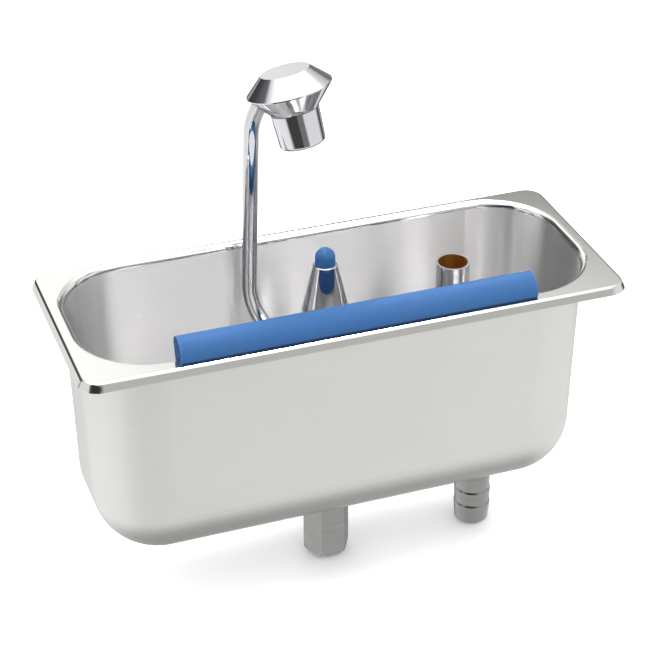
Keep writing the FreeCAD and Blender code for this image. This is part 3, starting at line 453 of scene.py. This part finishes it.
def step_up(value, low, high):
    """A smooth step from 0 at the low value to 1 at the high one."""
    share = min(max((value - low) / (high - low), 0.0), 1.0)
    return share * share * (3.0 - 2.0 * share)


def fade(value, stops):
    """0 before the first stop, 1 between the second and third, 0 after the fourth."""
    start, full, still_full, end = stops
    return step_up(value, start, full) * (1.0 - step_up(value, still_full, end))


def patch(row, bearing, tilt):
    """A row's share in a direction. Bearings are 0 at the camera and grow to its right."""
    strength, bearings, tilts = row
    start = bearings[0]
    return strength * fade(start + (bearing - start) % 360.0, bearings) * fade(tilt, tilts)


def dark_gap(bearing, tilt):
    """How far the unlit camera side and the gaps on the left and right darken a direction."""
    top = FRONT_TOP - FRONT_FALL * bearing
    front_tilts = (FRONT_FOOT - FRONT_SOFT, FRONT_FOOT + FRONT_SOFT, top - FRONT_SOFT, top + FRONT_SOFT)
    front_rows = [(strength, bearings, front_tilts) for strength, bearings in FRONT_GAPS]
    amount, low, high = LEFT_FADE
    left_row = (LEFT_STRENGTH - amount * step_up(tilt, low, high), LEFT_BEARINGS, LEFT_TILTS)
    return max(patch(row, bearing, tilt) for row in front_rows + [left_row, RIGHT_GAP])


def studio_glow(bearing, tilt):
    """How bright the studio is that polished metal sees in a direction."""
    glow = EVEN_GLOW + sum(amount * step_up(tilt, low, high) for amount, low, high in LAYERS)
    for row in LIGHTS:
        glow += patch(row, bearing, tilt)
    for row in SHADES:
        glow *= 1.0 - patch(row, bearing, tilt)
    glow += patch(FRONT_LIGHT, bearing, tilt)
    return glow * (1.0 - dark_gap(bearing, tilt))


def studio_shell():
    """A closed shell that only shows in reflections: soft lights with dark gaps between them."""
    places, glows, faces = [], [], []
    for row in range(SHELL_ROWS + 1):
        tilt = 180.0 * row / SHELL_ROWS - 90.0
        reach = SHELL_RADIUS * math.cos(math.radians(tilt))
        level = SHELL_RADIUS * math.sin(math.radians(tilt))
        for column in range(SHELL_COLUMNS):
            bearing = 360.0 * column / SHELL_COLUMNS - 180.0
            turn = math.radians(bearing + CAMERA_AZIMUTH - 90.0)
            places.append((reach * math.cos(turn), reach * math.sin(turn), level))
            glows.append(studio_glow(bearing, tilt))
    for row in range(SHELL_ROWS):
        low, high = row * SHELL_COLUMNS, (row + 1) * SHELL_COLUMNS
        for column in range(SHELL_COLUMNS):
            following = (column + 1) % SHELL_COLUMNS
            faces.append((low + column, low + following, high + following, high + column))
    mesh = bpy.data.meshes.new("studio_shell")
    mesh.from_pydata(places, [], faces)
    mesh.attributes.new("glow", "FLOAT", "POINT").data.foreach_set("value", glows)
    material = bpy.data.materials.new("studio_shell")
    material.use_nodes = True
    nodes, links = material.node_tree.nodes, material.node_tree.links
    nodes.remove(nodes["Principled BSDF"])
    glow = nodes.new("ShaderNodeAttribute")
    glow.attribute_name = "glow"
    light = nodes.new("ShaderNodeEmission")
    links.new(glow.outputs["Fac"], light.inputs["Strength"])
    links.new(light.outputs["Emission"], nodes["Material Output"].inputs["Surface"])
    mesh.materials.append(material)
    shell = bpy.data.objects.new("studio_shell", mesh)
    bpy.context.scene.collection.objects.link(shell)
    shell.visible_camera = False
    shell.visible_diffuse = False
    shell.visible_transmission = False
    shell.visible_shadow = False


studio_shell()

azimuth = math.radians(CAMERA_AZIMUTH)
elevation = math.radians(CAMERA_ELEVATION)
roll = math.radians(CAMERA_ROLL)
back = Vector((math.sin(azimuth) * math.cos(elevation), -math.cos(azimuth) * math.cos(elevation),
               math.sin(elevation)))
level_right = (-back).cross(Vector((0.0, 0.0, 1.0))).normalized()
level_up = level_right.cross(-back)
right = math.cos(roll) * level_right + math.sin(roll) * level_up
up = math.cos(roll) * level_up - math.sin(roll) * level_right
lens = bpy.data.cameras.new("camera")
lens.sensor_width = SENSOR
lens.lens = FOCAL_PIXELS / PHOTO_PIXELS * SENSOR
lens.clip_start = CLIP_START
eye = bpy.data.objects.new("camera", lens)
eye.matrix_world = Matrix.Translation(CAMERA_PLACE) @ Matrix((right, up, back)).transposed().to_4x4()
bpy.context.scene.collection.objects.link(eye)
bpy.context.scene.camera = eye
